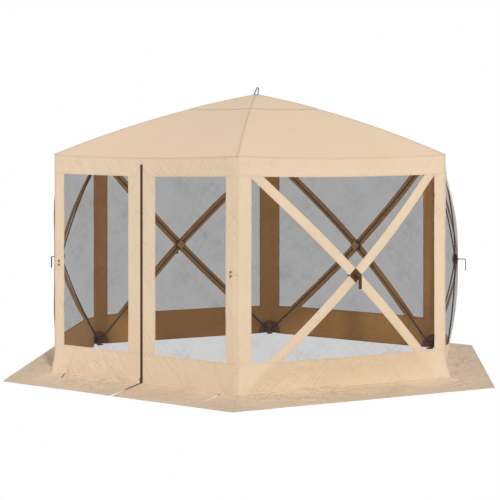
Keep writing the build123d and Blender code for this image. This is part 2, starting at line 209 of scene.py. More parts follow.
def skirt_point(wall, u, q):
    """A point on the skirt, q metres out from the wall's foot."""
    along, out = wall_axes(wall)
    seed = 5.9 * wall + 0.4
    near = 1 - min(q / 0.25, 1.0)
    calm = gusset_calm = 1.0
    if wall == DOOR:  # taut beside the zip, and flatter on the gussets that the flaps swing over
        calm = smooth((abs(u) - 0.015) / 0.14)
        gusset_calm = 1 - 0.8 * smooth((abs(u) - 0.58) / 0.12)
    taut = FOLD_RISE * (1 - q / SKIRT_OUT)
    height = taut + (FOLD_RISE * near**1.6 - taut) * calm

    ripple = folds(u, q, 0.040, 0.06, seed) + 0.8 * folds(u, q, 0.028, -0.10, seed + 4)
    swell = 0.5 + noise.noise(Vector((u * 4.2, q * 9.0, seed + 8)))
    from_hem = SKIRT_OUT - q
    from_mitre = HALF + q * math.tan(math.pi / SIDES) - abs(u)
    shape = smooth(q / 0.03) * (0.2 + 0.8 * smooth(from_hem / 0.16))
    shape *= calm * smooth(from_mitre / 0.07) * gusset_calm
    roll = 0.007 * math.sin(math.pi * min(q / 0.075, 1.0)) ** 2 * calm
    height += roll + shape * (0.0125 * ripple + 0.0100 * swell * smooth(from_hem / 0.12))

    at_corner = corner_ray(wall, u) * (corner_flare(wall, u) * near)
    return out * (APOTHEM + q) + along * u + at_corner + Vector((0, 0, 0.0024 + max(height, 0.0)))


def canopy_height(share):
    """Height of a hip at a share of the way from the apex to the eave."""
    return EAVE_Z + (APEX_Z - EAVE_Z) * (1 - share) + 4 * HIP_BOW * share * (1 - share)


def roof_point(sector, x, y, lift=0.0):
    """A point of the canopy: x along the eave, y out from the middle, lift above the cloth."""
    along, out = wall_axes(sector)
    share = y / APOTHEM
    across = min(abs(x) / max(share * HALF, 1e-6), 1.0)
    hollow = (1 - across * across) * ROOF_SAG * share**0.9
    seed = 3.3 * sector + 1.7
    slack = noise.noise(Vector((x * 1.7, y * 1.9, seed))) * (1 - across**4) * share * (1 - share)
    pull = folds(x, y, 0.16, math.pi / 2 + math.copysign(0.5, x), seed + 2) * smooth((share - 0.6) / 0.35)
    height = canopy_height(min(share, 1.0)) - hollow + 0.012 * slack + 0.0016 * pull * (1 - across**2)
    if share > 1:
        height -= (share - 1) * APOTHEM * 0.5
    return along * x + out * y + Vector((0, 0, height + lift))


def roof_share(point):
    """How far a point of the canopy follows the roof hub: none at the eave, all of it at the hub."""
    radius = 0.0
    for sector in range(SIDES):
        radius = max(radius, wall_axes(sector)[1].dot(Vector((point.x, point.y, 0))))
    radius *= CORNER_R / APOTHEM
    held_at_eave, held_at_hub = 0.060, 0.088
    return min(max((CORNER_R - held_at_eave - radius) / (CORNER_R - held_at_eave - held_at_hub), 0.0), 1.0)


# ---------------------------------------------------------------- cloth meshes


def side_distance(point, outline):
    """Distance from a point inside a convex outline to its nearest side."""
    best = 1e9
    for a, b in zip(outline, outline[1:] + outline[:1]):
        dx, dy = b[0] - a[0], b[1] - a[1]
        best = min(best, ((point[1] - a[1]) * dx - (point[0] - a[0]) * dy) / math.hypot(dx, dy))
    return max(best, 0.0)


def trim(bm, a, b):
    """Keeps what lies to the left of the line from a to b."""
    normal = Vector((b[1] - a[1], a[0] - b[0], 0))
    everything = bm.verts[:] + bm.edges[:] + bm.faces[:]
    bmesh.ops.bisect_plane(
        bm, geom=everything, plane_co=(a[0], a[1], 0), plane_no=normal, clear_outer=True, dist=1e-5
    )


def flat_panel(outline, step, turn=None, cuts=()):
    """A grid cut exactly to a convex outline, given anticlockwise, with UVs and hem distances in metres."""
    low = [min(p[i] for p in outline) for i in (0, 1)]
    high = [max(p[i] for p in outline) for i in (0, 1)]
    count = [max(2, math.ceil((high[i] - low[i]) / step)) for i in (0, 1)]
    bm = bmesh.new()
    rows = []
    for j in range(count[1] + 1):
        y = low[1] + (high[1] - low[1]) * j / count[1]
        row = []
        for i in range(count[0] + 1):
            row.append(bm.verts.new((low[0] + (high[0] - low[0]) * i / count[0], y, 0)))
        rows.append(row)
    for lower, upper in zip(rows, rows[1:]):
        for i in range(count[0]):
            bm.faces.new((lower[i], lower[i + 1], upper[i + 1], upper[i]))
    for a, b in zip(outline, outline[1:] + outline[:1]):
        trim(bm, a, b)
    uv = bm.loops.layers.uv.new("UVMap")
    hem = bm.verts.layers.float.new("hem")
    for vert in bm.verts:
        vert[hem] = side_distance(vert.co, outline)
    for face in bm.faces:
        for loop in face.loops:
            loop[uv].uv = loop.vert.co.xy
    if turn is not None:
        bm.transform(turn)
    for a, b in cuts:
        trim(bm, a, b)
    return bm


def cloth(name, panels, materials, thickness=CLOTH, share=None, flip=False, weld=False):
    """One piece of cloth from flat panels: each is (flat bmesh, function that places a flat point)."""
    whole = bmesh.new()
    area = 0.0
    for bm, place in panels:
        share_layer = bm.verts.layers.float.new("share")
        area += sum(face.calc_area() for face in bm.faces)
        for vert in bm.verts:
            x, y = vert.co.xy
            if share is not None:
                vert[share_layer] = share(x, y)
            vert.co = place(x, y)
        part = bpy.data.meshes.new("part")
        bm.to_mesh(part)
        bm.free()
        whole.from_mesh(part)
        bpy.data.meshes.remove(part)
    if weld:
        bmesh.ops.remove_doubles(whole, verts=whole.verts, dist=1e-4)
    if flip:
        bmesh.ops.reverse_faces(whole, faces=whole.faces)
    for face in whole.faces:
        face.smooth = True
    for edge in whole.edges:
        edge.smooth = not edge.is_boundary
    mesh = bpy.data.meshes.new(name)
    whole.to_mesh(mesh)
    whole.free()
    piece = bpy.data.objects.new(name, mesh)
    bpy.context.scene.collection.objects.link(piece)
    for material in materials:
        mesh.materials.append(material)
    solid = piece.modifiers.new("Thickness", "SOLIDIFY")
    solid.thickness = thickness
    solid.offset = -1
    solid.use_even_offset = True
    solid.material_offset = len(materials) - 1
    piece["cut_area"] = area
    return piece


def declare(piece):
    """Removes the cut area that cloth() stored on a piece."""
    del piece["cut_area"]


def bend(piece, weights):
    """Bakes the piece's placement into its mesh.

    weights is not used.
    """
    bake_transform(piece)


def share_values(piece):
    """The share of its hub's motion that cloth() wrote on each vertex."""
    values = np.zeros(len(piece.data.vertices), np.float32)
    piece.data.attributes["share"].data.foreach_get("value", values)
    return values


def rectangle(u0, z0, u1, z1):
    return [(u0, z0), (u1, z0), (u1, z1), (u0, z1)]


def mirrored(outline):
    """The same outline on the other side of u = 0, still anticlockwise."""
    return [(-u, z) for u, z in reversed(outline)]


def both_sides(outline, step, place):
    """Panels of one outline and its mirror image."""
    return [(flat_panel(shape, step), place) for shape in (outline, mirrored(outline))]


def diamond(half):
    return [(half, 0), (0, half), (-half, 0), (0, -half)]


def tube(name, path, radius, material, sides=8):
    """A round cord along a path of points, closed at both ends."""
    bm = bmesh.new()
    rings = []
    for i, point in enumerate(path):
        ahead = path[min(i + 1, len(path) - 1)] - path[max(i - 1, 0)]
        ahead.normalize()
        side = ahead.cross(Vector((0, 0, 1))).normalized()
        up = side.cross(ahead)
        ring = []
        for k in range(sides):
            angle = 2 * math.pi * k / sides
            ring.append(bm.verts.new(point + radius * (side * math.cos(angle) + up * math.sin(angle))))
        rings.append(ring)
    for first, second in zip(rings, rings[1:]):
        for k in range(sides):
            bm.faces.new((first[k], first[(k + 1) % sides], second[(k + 1) % sides], second[k]))
    bm.faces.new(rings[0])
    bm.faces.new(list(reversed(rings[-1])))
    bmesh.ops.recalc_face_normals(bm, faces=bm.faces)
    for face in bm.faces:
        face.smooth = len(face.verts) == 4
    mesh = bpy.data.meshes.new(name)
    bm.to_mesh(mesh)
    bm.free()
    mesh.materials.append(material)
    piece = bpy.data.objects.new(name, mesh)
    bpy.context.scene.collection.objects.link(piece)
    return piece


# ---------------------------------------------------------------- materials


class Surface:
    """A material under construction, with short ways to add and join nodes."""

    def __init__(self, name):
        self.material = bpy.data.materials.new(name)
        self.material.use_nodes = True
        self.tree = self.material.node_tree
        self.shader = self.tree.nodes["Principled BSDF"]

    def node(self, kind, **settings):
        made = self.tree.nodes.new("ShaderNode" + kind)
        for key, value in settings.items():
            setattr(made, key, value)
        return made

    def join(self, value, socket):
        if isinstance(value, bpy.types.NodeSocket):
            self.tree.links.new(value, socket)
        else:
            socket.default_value = value

    def math(self, operation, a, b=0.0, clamp=False):
        made = self.node("Math", operation=operation, use_clamp=clamp)
        self.join(a, made.inputs[0])
        self.join(b, made.inputs[1])
        return made.outputs[0]

    def coordinates(self, kind="Object", scale=(1, 1, 1)):
        source = self.node("TexCoord").outputs[kind]
        mapping = self.node("Mapping")
        self.join(source, mapping.inputs["Vector"])
        mapping.inputs["Scale"].default_value = scale
        return mapping.outputs[0]

    def ridges(self, length, turn, pitch):
        """Sharp little creases, length times as long as they are wide, along a line at turn radians."""
        mapping = self.node("Mapping", vector_type="TEXTURE")
        self.join(self.node("TexCoord").outputs["UV"], mapping.inputs["Vector"])
        mapping.inputs["Scale"].default_value = (length, 1, 1)
        mapping.inputs["Rotation"].default_value = (0, 0, turn)
        field = self.noise(mapping.outputs[0], pitch, 1.0, 0.5)
        return self.remap(self.math("ABSOLUTE", self.math("SUBTRACT", field, 0.5)), 0.0, 0.09, 1.0, 0.0)

    def noise(self, vector, scale, detail=3.0, rough=0.55):
        made = self.node("TexNoise")
        self.join(vector, made.inputs["Vector"])
        made.inputs["Scale"].default_value = scale
        made.inputs["Detail"].default_value = detail
        made.inputs["Roughness"].default_value = rough
        return made.outputs["Fac"]

    def remap(self, value, low, high, to_low, to_high):
        made = self.node("MapRange")
        for socket, number in zip(list(made.inputs)[:5], (value, low, high, to_low, to_high)):
            self.join(number, socket)
        return made.outputs[0]

    def mix(self, share, first, second):
        made = self.node("Mix", data_type="RGBA")
        self.join(share, made.inputs[0])
        self.join(first, made.inputs[6])
        self.join(second, made.inputs[7])
        return made.outputs[2]

    def bump(self, height, strength, distance, under=None):
        made = self.node("Bump")
        made.inputs["Strength"].default_value = strength
        made.inputs["Distance"].default_value = distance
        self.join(height, made.inputs["Height"])
        if under is not None:
            self.join(under, made.inputs["Normal"])
        return made.outputs[0]

    def set(self, **values):
        for key, value in values.items():
            self.join(value, self.shader.inputs[key.replace("_", " ")])
        return self.material


def linear(*srgb):
    """An 8-bit sRGB colour as the linear RGBA that a shader takes."""
    made = []
    for value in srgb:
        c = value / 255
        made.append(c / 12.92 if c <= 0.04045 else ((c + 0.055) / 1.055) ** 2.4)
    return (*made, 1.0)


def weave_height(s, vector, pitch):
    """Over-and-under height of a plain weave, from 0 to 1."""
    split = s.node("SeparateXYZ")
    s.join(vector, split.inputs[0])
    turns = 2 * math.pi / pitch
    warp = s.math("SINE", s.math("MULTIPLY", split.outputs[0], turns))
    weft = s.math("SINE", s.math("MULTIPLY", split.outputs[1], turns))
    return s.math("ADD", s.math("MULTIPLY", s.math("MULTIPLY", warp, weft), 0.5), 0.5)


def woven_cloth(name, colour, shade, thread, rough=0.62, crease=0.0034):
    """Coated polyester: plain weave, slight colour drift, small creases, and a stitched hem round each panel.

    crease is the depth of the creases in metres.
    """
    weave_pitch, stitch_pitch, hem_width = 0.0011, 0.0042, 0.0125
    rows, half_thread = (0.0030, 0.0095), 0.0005  # the two rows of stitches, from the panel's edge
    s = Surface(name)
    flat = s.coordinates("UV")
    drift = s.noise(flat, 2.2, 4.0, 0.6)
    streak = s.noise(s.coordinates("UV", (3.0, 140.0, 1.0)), 1.0, 2.0)
    tone = s.math("ADD", s.math("MULTIPLY", drift, 0.7), s.math("MULTIPLY", streak, 0.3))
    body = s.mix(s.remap(tone, 0.30, 0.72, 0.0, 1.0), shade, colour)

    hem = s.node("Attribute", attribute_name="hem").outputs["Fac"]
    split = s.node("SeparateXYZ")
    s.join(flat, split.inputs[0])
    run = s.math("ADD", split.outputs[0], split.outputs[1])
    dash = s.math("LESS_THAN", s.math("FRACT", s.math("MULTIPLY", run, 1 / stitch_pitch)), 0.68)
    first, second = (
        s.math("LESS_THAN", s.math("ABSOLUTE", s.math("SUBTRACT", hem, row)), half_thread) for row in rows
    )
    stitch = s.math("MULTIPLY", s.math("ADD", first, second, clamp=True), dash)
    folded = s.math("LESS_THAN", hem, hem_width)

    weave = weave_height(s, flat, weave_pitch)
    crumple = s.noise(s.coordinates("UV", (1.0, 1.6, 1.0)), 9.0, 5.0, 0.62)
    where = s.remap(s.noise(flat, 3.4, 2.0), 0.42, 0.62, 0.0, 1.0)
    creases = s.math("ADD", s.ridges(4.0, 1.05, 22.0), s.ridges(3.4, -0.80, 17.0))
    ridge = s.math("ADD", s.math("MULTIPLY", creases, where), s.math("MULTIPLY", crumple, 0.5))
    normal = s.bump(ridge, 0.75, crease)
    normal = s.bump(folded, 0.5, 0.0008, normal)
    normal = s.bump(weave, 0.30, 0.00022, normal)
    normal = s.bump(stitch, 0.8, 0.0004, normal)
    uneven = s.remap(s.math("ADD", weave, crumple), 0.3, 1.6, rough - 0.07, rough + 0.10)
    s.set(Base_Color=s.mix(stitch, body, thread), Roughness=uneven, Normal=normal)
    return s.set(Sheen_Weight=0.12, Sheen_Roughness=0.5, Specular_IOR_Level=0.32)


def paler(colour, times, lift=0.0):
    return tuple(min(1.0, times * c + lift) for c in colour[:3]) + (1.0,)


def netting(name, colour, cover):
    """Fine insect net: see-through, with a faint cell pattern, soft drift and a few lines where it is creased.

    cover is the share of the view that the net hides.
    """
    cell, drift_span = 0.0016, 0.007
    s = Surface(name)
    flat = s.coordinates("UV")
    cells = s.node("TexVoronoi", feature="DISTANCE_TO_EDGE")
    s.join(flat, cells.inputs["Vector"])
    cells.inputs["Scale"].default_value = 1 / cell
    threads = s.math("LESS_THAN", cells.outputs["Distance"], 0.16)
    drift = s.noise(flat, 3.0, 4.0, 0.6)
    lines = s.math("ADD", s.ridges(5.0, 0.95, 15.0), s.ridges(4.5, -0.6, 11.0))
    lines = s.math("MULTIPLY", lines, s.remap(s.noise(flat, 2.6, 2.0), 0.45, 0.65, 0.0, 0.05))
    body = s.remap(drift, 0.25, 0.75, cover - drift_span, cover + drift_span)
    alpha = s.math("ADD", s.math("ADD", s.math("MULTIPLY", threads, 0.10), body), lines)
    tone = s.mix(s.noise(flat, 40.0, 2.0), colour, paler(colour, 1.7))
    normal = s.bump(s.noise(s.coordinates("UV", (1.0, 0.35, 1.0)), 7.0, 4.0), 0.5, 0.012)
    s.set(Base_Color=tone, Alpha=alpha, Normal=normal)
    return s.set(Roughness=0.62, Specular_IOR_Level=0.25)


def webbing(name, colour, shade, pitch=0.0026):
    """Woven polyester tape: slanted ribs, painted shade in the darker grooves, and a little fuzz."""
    s = Surface(name)
    place = s.coordinates("Object")
    split = s.node("SeparateXYZ")
    s.join(place, split.inputs[0])
    across = s.math("MULTIPLY", s.math("ADD", split.outputs[0], split.outputs[1]), 0.6)
    run = s.math("ADD", split.outputs[2], across)
    wave = s.math("SINE", s.math("MULTIPLY", run, 2 * math.pi / pitch))
    rib = s.math("ADD", s.math("MULTIPLY", wave, 0.5), 0.5)
    fuzz = s.noise(place, 900.0, 2.0)
    # The grooves take the shade colour: painted shade.
    tone = s.mix(s.math("MULTIPLY", rib, s.remap(fuzz, 0.3, 0.7, 0.6, 1.0)), shade, colour)
    normal = s.bump(s.math("ADD", rib, s.math("MULTIPLY", fuzz, 0.4)), 0.7, 0.0005)
    s.set(Base_Color=tone, Normal=normal, Roughness=s.remap(fuzz, 0.3, 0.7, 0.62, 0.82))
    return s.set(Sheen_Weight=0.2, Specular_IOR_Level=0.3)


def fibreglass(name, colour, shade):
    """Pultruded rod: fine lengthwise streaks under a semi-gloss resin skin, scuffed here and there."""
    s = Surface(name)
    place = s.coordinates("Object")
    streak = s.noise(s.coordinates("Object", (1.0, 1.0, 0.06)), 260.0, 3.0)
    scuff = s.noise(place, 22.0, 6.0, 0.7)
    tone = s.mix(s.remap(streak, 0.35, 0.65, 0.0, 1.0), shade, colour)
    worn = s.remap(scuff, 0.60, 0.72, 0.0, 0.55)
    tone = s.mix(worn, tone, linear(118, 122, 132))
    normal = s.bump(streak, 0.25, 0.0002)
    s.set(Base_Color=tone, Normal=normal, Roughness=s.remap(scuff, 0.3, 0.7, 0.26, 0.50))
    return s.set(Coat_Weight=0.25, Coat_Roughness=0.2)


def moulded(name, colour, shade):
    """Injection-moulded nylon: fine spark grain, edges a little lighter."""
    s = Surface(name)
    place = s.coordinates("Object")
    fine = s.noise(place, 420.0, 3.0)
    cloudy = s.noise(place, 9.0, 3.0)
    edge = s.node("NewGeometry").outputs["Pointiness"]
    edge_lightening = s.remap(edge, 0.52, 0.60, 0.0, 0.5)
    tone = s.mix(s.remap(cloudy, 0.35, 0.65, 0.0, 1.0), shade, colour)
    tone = s.mix(edge_lightening, tone, paler(colour, 2.4, 0.01))
    normal = s.bump(fine, 0.35, 0.0003)
    return s.set(Base_Color=tone, Normal=normal, Roughness=s.remap(fine, 0.3, 0.7, 0.42, 0.58))


# Each cloth has its colour, its shade where the colour drifts, and its thread.
TAN = woven_cloth("shell_tan", linear(224, 201, 173), linear(218, 194, 165), linear(200, 173, 140))
# A lighter copy of the shell tan: its extra lightness is painted light on the roof, cap and piping.
TAN_ROOF_PAINTED_LIGHT = woven_cloth(
    "roof_tan_painted_light", linear(240, 213, 182), linear(236, 209, 176), linear(205, 178, 143), crease=0.0010
)
TAN_SKIRT = woven_cloth(
    "skirt_tan", linear(227, 204, 176), linear(213, 188, 159), linear(190, 162, 130), crease=0.0060
)
# Inner and under faces take this brown, which is painted shade of the tan cloth's inside.
BROWN = woven_cloth("shell_inside_painted_shade", linear(182, 140, 82), linear(170, 128, 72), linear(110, 76, 40), 0.70)
DARK = woven_cloth("reinforcing_patch", linear(92, 55, 16), linear(80, 46, 10), linear(140, 100, 50), 0.70)
POCKET = woven_cloth("corner_pocket", linear(136, 98, 60), linear(122, 86, 50), linear(90, 60, 30), 0.70)
# The binding is darker than the roof cloth: painted shade along the hip seams.
SEAM_PAINTED_SHADE = woven_cloth("seam_binding_painted_shade", linear(214, 188, 154), linear(206, 178, 144), linear(222, 198, 168))
NETTING = netting("insect_net", linear(30, 31, 34), 0.332)
POLE = fibreglass("pole_navy", linear(46, 54, 72), linear(30, 36, 50))
NYLON = moulded("moulded_black", linear(34, 34, 36), linear(24, 24, 26))
NYLON_BROWN = moulded("moulded_brown", linear(80, 50, 20), linear(66, 40, 14))
NYLON_FOOT = moulded("moulded_foot", linear(104, 74, 46), linear(92, 64, 38))
WEBBING_BROWN = webbing("webbing_brown", linear(96, 60, 22), linear(56, 32, 8))
WEBBING_BLACK = webbing("webbing_black", linear(38, 38, 40), linear(16, 16, 18))
ZIP = webbing("zip_tape_brown", linear(84, 50, 12), linear(54, 30, 6), 0.0018)
# Outside and inside of the two-sided cloths; the brown inside is painted shade.
TAN_WITH_SHADED_INSIDE, SKIRT_WITH_SHADED_UNDERSIDE, ROOF_WITH_SHADED_UNDERSIDE = [TAN, BROWN], [TAN_SKIRT, BROWN], [TAN_ROOF_PAINTED_LIGHT, BROWN]


# ---------------------------------------------------------------- hub walls


def on(wall, depth):
    """Places flat points on a wall, depth metres inside its outer face."""
    return lambda u, z: wall_point(wall, u, z, depth)


def follow_hub(piece):
    bend(piece, share_values(piece))


def make_hub_bands(wall):
    """The valance, the band under the window and the posts beside it."""
    outline = rectangle(-HALF, VALANCE_Z, HALF, EAVE_Z)
    panels = [(flat_panel(outline, BAND_STEP), on(wall, VALANCE_LAYER))]
    valance = cloth(f"valance_{wall}", panels, TAN_WITH_SHADED_INSIDE, share=wall_share)
    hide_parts("valance")
    follow_hub(valance)
    declare(valance)

    outline = rectangle(-HALF, WALL_FOOT, HALF, SILL_Z)
    panels = [(flat_panel(outline, BAND_STEP), on(wall, BAND_LAYER))]
    band = cloth(f"lower_band_{wall}", panels, TAN_WITH_SHADED_INSIDE, share=wall_share)
    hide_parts("lower_bands")
    follow_hub(band)
    declare(band)

    outline = rectangle(POST_U, SILL_Z - LAP, HALF, VALANCE_Z + LAP)
    panels = both_sides(outline, POST_STEP, on(wall, POST_LAYER))
    posts = cloth(f"corner_posts_{wall}", panels, TAN_WITH_SHADED_INSIDE, share=wall_share)
    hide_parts("corner_posts")
    follow_hub(posts)
    declare(posts)


def strip_edge(corner, side):
    """One edge of the net's cut along a strip: its end at the hub, and a point towards the corner."""
    along = Vector((corner[0], corner[1] - HUB_Z)).normalized()
    across = Vector((-along.y, along.x)) * side
    start = Vector((0, HUB_Z)) + across * (STRIP_W / 2 - NET_LAP)
    return tuple(start), tuple(start + along)


def make_hub_window(wall):
    """The X of strips that covers the poles, and the four pieces of net between its arms."""
    window = rectangle(-POST_U - LAP, SILL_Z - LAP, POST_U + LAP, VALANCE_Z + LAP)
    cuts = list(zip(window, window[1:] + window[:1]))
    reach = math.hypot(HALF, HUB_Z)
    panels = []
    for corner_u, corner_z in WALL_CORNERS:
        slope = math.atan2(corner_z - HUB_Z, corner_u)
        turn = Matrix.Translation((0, HUB_Z, 0)) @ Matrix.Rotation(slope, 4, "Z")
        strip = flat_panel(rectangle(0, -STRIP_W / 2, reach, STRIP_W / 2), STRIP_STEP, turn, cuts)
        panels.append((strip, on(wall, STRIP_LAYER)))
    strips = cloth(f"cross_strips_{wall}", panels, TAN_WITH_SHADED_INSIDE, share=wall_share)
    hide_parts("cross_strips")
    follow_hub(strips)
    declare(strips)

    window = rectangle(-POST_U - NET_LAP, SILL_Z - NET_LAP, POST_U + NET_LAP, VALANCE_Z + NET_LAP)
    panels = []
    for first, second in zip(WALL_CORNERS, WALL_CORNERS[1:] + WALL_CORNERS[:1]):
        hub_end, far_end = strip_edge(first, 1)
        next_hub_end, next_far_end = strip_edge(second, -1)
        quarter = flat_panel(window, NET_STEP, cuts=[(hub_end, far_end), (next_far_end, next_hub_end)])
        panels.append((quarter, on(wall, NET_LAYER)))
    net = cloth(f"window_net_{wall}", panels, [NETTING], thickness=NET, share=wall_share)
    net.modifiers.clear()
    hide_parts(f"mesh_window_{wall}")
    follow_hub(net)
    declare(net)


def hub_diamond(wall, half, depth, dome):
    """Places a diamond round a hub: depth inside the wall's tip, falling by dome towards its corners."""
    along, out = wall_axes(wall)

    def place(x, y):
        u, z = x, y + HUB_Z
        spread = (abs(x) + abs(y)) / half
        follow = bulge(edge_share(u, z)) - BULGE
        dimple = 0.0006 * smooth(1 - spread)
        return out * (APOTHEM + BULGE - depth + follow * dome - dimple) + along * u + Vector((0, 0, z))

    return place


def make_hub_trim(wall):
    """The outer reinforcing diamond, and the cloth cover over the inner side of the hub."""
    half, thickness = 0.056, 0.0012
    panels = [(flat_panel(diamond(half), 0.006), hub_diamond(wall, half, 0.0006, 1.0))]
    patch = cloth(f"hub_patch_{wall}", panels, [DARK], thickness=thickness)
    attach(patch, f"wall_hub_{wall}")
    declare(patch)

    half = 0.050
    panels = [(flat_panel(diamond(half), 0.008), hub_diamond(wall, half, 0.043, -0.2))]
    # The cover takes the brown of the inner faces, which is painted shade.
    cover = cloth(f"hub_cover_{wall}", panels, [BROWN], thickness=thickness)
    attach(cover, f"wall_hub_{wall}")
    declare(cover)


# ---------------------------------------------------------------- door wall


def fold_z(u):
    """Height of the flaps' fold line at u."""
    share = (abs(u) - FOLD_TOP[0]) / (FOLD_FOOT[0] - FOLD_TOP[0])
    return FOLD_TOP[1] + (FOLD_FOOT[1] - FOLD_TOP[1]) * share


def fold_u(z):
    """Distance of the flaps' fold line from the zip at height z."""
    share = (FOLD_TOP[1] - z) / (FOLD_TOP[1] - FOLD_FOOT[1])
    return FOLD_TOP[0] + (FOLD_FOOT[0] - FOLD_TOP[0]) * share


def make_door_frame():
    """The part of the door wall that stays still when the flaps fold back."""
    over_fold = [
        (fold_u(VALANCE_Z), VALANCE_Z),
        (HALF, VALANCE_Z),
        (HALF, EAVE_Z),
        (0, EAVE_Z),
        (0, FOLD_TOP[1]),
    ]
    beside_zip = [(BAND_W, fold_z(BAND_W)), (BAND_W, VALANCE_Z), (fold_u(VALANCE_Z), VALANCE_Z)]
    panels = both_sides(over_fold, BAND_STEP, on(DOOR, VALANCE_LAYER))
    panels += both_sides(beside_zip, BAND_STEP, on(DOOR, VALANCE_LAYER))
    valance = cloth("valance_door", panels, TAN_WITH_SHADED_INSIDE)
    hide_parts("valance")
    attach(valance, "root")
    declare(valance)

    outline = rectangle(POST_U, SILL_Z - LAP, HALF, VALANCE_Z + LAP)
    posts = cloth("corner_posts_door", both_sides(outline, POST_STEP, on(DOOR, POST_LAYER)), TAN_WITH_SHADED_INSIDE)
    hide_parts("corner_posts")
    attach(posts, "root")
    declare(posts)

    corner = [(FOLD_FOOT[0], WALL_FOOT), (HALF, WALL_FOOT), (HALF, SILL_Z), (fold_u(SILL_Z), SILL_Z)]
    sill = cloth("lower_corners_door", both_sides(corner, BAND_STEP, on(DOOR, BAND_LAYER)), TAN_WITH_SHADED_INSIDE)
    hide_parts("lower_bands")
    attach(sill, "root")
    declare(sill)

    fixed = [
        (fold_u(SILL_Z), SILL_Z),
        (POST_U + NET_LAP, SILL_Z),
        (POST_U + NET_LAP, VALANCE_Z + NET_LAP),
        (BAND_W, VALANCE_Z + NET_LAP),
        (BAND_W, fold_z(BAND_W)),
    ]
    net = cloth("door_net_fixed", both_sides(fixed, NET_STEP, on(DOOR, NET_LAYER)), [NETTING], thickness=NET)
    net.modifiers.clear()
    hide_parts("door_screen_fixed")
    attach(net, "root")
    declare(net)


def make_flap(side, name):
    """One half of the door: the cloth beside the zip and under its net, the net, and its piece of skirt."""
    start = FOLD_TOP[0]
    toe_u = fold_u(TOE_Z)
    heel_u = toe_u - (TOE_Z - WALL_FOOT) * FOLD_TOP[1] / FOLD_FOOT[0]
    band = [(start, SILL_Z), (BAND_W, SILL_Z), (BAND_W, fold_z(BAND_W)), FOLD_TOP]
    lower = [(start, WALL_FOOT), (heel_u, WALL_FOOT), (toe_u, TOE_Z), (fold_u(SILL_Z), SILL_Z), (start, SILL_Z)]
    window = [(BAND_W, SILL_Z), (fold_u(SILL_Z), SILL_Z), (BAND_W, fold_z(BAND_W))]
    skirt = [
        (start, 0.0),
        (FOLD_FOOT[0] - FLAP_SKIRT_BACK[0], 0.0),
        (CUT_END_U - FLAP_SKIRT_BACK[1], SKIRT_OUT),
        (SLIT_OPEN, SKIRT_OUT),
        (start, SLIT_FROM),
    ]
    if side < 0:
        band, lower, window, skirt = (mirrored(shape) for shape in (band, lower, window, skirt))

    panels = [(flat_panel(shape, BAND_STEP), on(DOOR, POST_LAYER)) for shape in (band, lower)]
    flap = cloth(f"door_flap_cloth_{name}", panels, TAN_WITH_SHADED_INSIDE)
    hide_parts(f"door_flap_{name}")
    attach(flap, f"door_flap_{name}")
    declare(flap)

    panels = [(flat_panel(window, NET_STEP), on(DOOR, NET_LAYER))]
    net = cloth(f"door_net_{name}", panels, [NETTING], thickness=NET)
    net.modifiers.clear()
    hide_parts(f"door_mesh_{name}")
    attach(net, f"door_flap_{name}")
    declare(net)

    panels = [(flat_panel(skirt, SKIRT_STEP), on_skirt_of(DOOR))]
    on_skirt = cloth(f"door_skirt_{name}", panels, SKIRT_WITH_SHADED_UNDERSIDE, flip=True)
    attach(on_skirt, f"door_flap_{name}")
    declare(on_skirt)


def make_toggle_tab(side, name):
    """A cloth tab on a door post, wrapped over the middle of its toggle barrel."""
    low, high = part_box("toggles")
    before, after, half_height, half_wrap = 0.012, 0.060, 0.0065, 0.0075
    barrel_u = (high.x - low.x) / 2 - 0.012
    barrel_z = (low.z + high.z) / 2
    proud = -low.y - APOTHEM
    along, out = wall_axes(DOOR)
    steps = 24
    bm = bmesh.new()
    rows = []
    for i in range(steps + 1):
        x = -before + (before + after) * i / steps
        lift = 0.0018 + (proud - 0.0008) * math.exp(-((x / half_wrap) ** 4))
        centre = out * (APOTHEM + lift) + along * side * (barrel_u + x) + Vector((0, 0, barrel_z))
        rows.append([bm.verts.new(centre + Vector((0, 0, half_height * k))) for k in (-1, -0.3, 0.3, 1)])
    for first, second in zip(rows, rows[1:]):
        for k in range(3):
            bm.faces.new((first[k], second[k], second[k + 1], first[k + 1]))
    if side < 0:
        bmesh.ops.reverse_faces(bm, faces=bm.faces)
    mesh = bpy.data.meshes.new(f"toggle_tab_{name}")
    bm.to_mesh(mesh)
    bm.free()
    mesh.materials.append(TAN)
    tab = bpy.data.objects.new(f"toggle_tab_{name}", mesh)
    bpy.context.scene.collection.objects.link(tab)
    solid = tab.modifiers.new("Thickness", "SOLIDIFY")
    solid.thickness = CLOTH
    solid.offset = 1
    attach(tab, "root")


# ---------------------------------------------------------------- skirt and roof


def on_skirt_of(wall):
    """Places flat points on the skirt of a wall."""
    return lambda u, q: skirt_point(wall, u, q)


def make_skirt():
    outer_half = HALF + SKIRT_OUT * math.tan(math.pi / SIDES)
    outline = [(-HALF, 0), (HALF, 0), (outer_half, SKIRT_OUT), (-outer_half, SKIRT_OUT)]
    panels = [(flat_panel(outline, SKIRT_STEP), on_skirt_of(wall)) for wall in HUB_WALLS]
    gusset = [
        (FOLD_FOOT[0] - GUSSET_BACK[0], 0),
        (HALF, 0),
        (outer_half, SKIRT_OUT),
        (CUT_END_U - GUSSET_BACK[1], SKIRT_OUT),
    ]
    panels += both_sides(gusset, SKIRT_STEP, on_skirt_of(DOOR))
    skirt = cloth("ground_skirt_cloth", panels, SKIRT_WITH_SHADED_UNDERSIDE, flip=True)
    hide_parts("ground_skirt")
    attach(skirt, "root")
    declare(skirt)


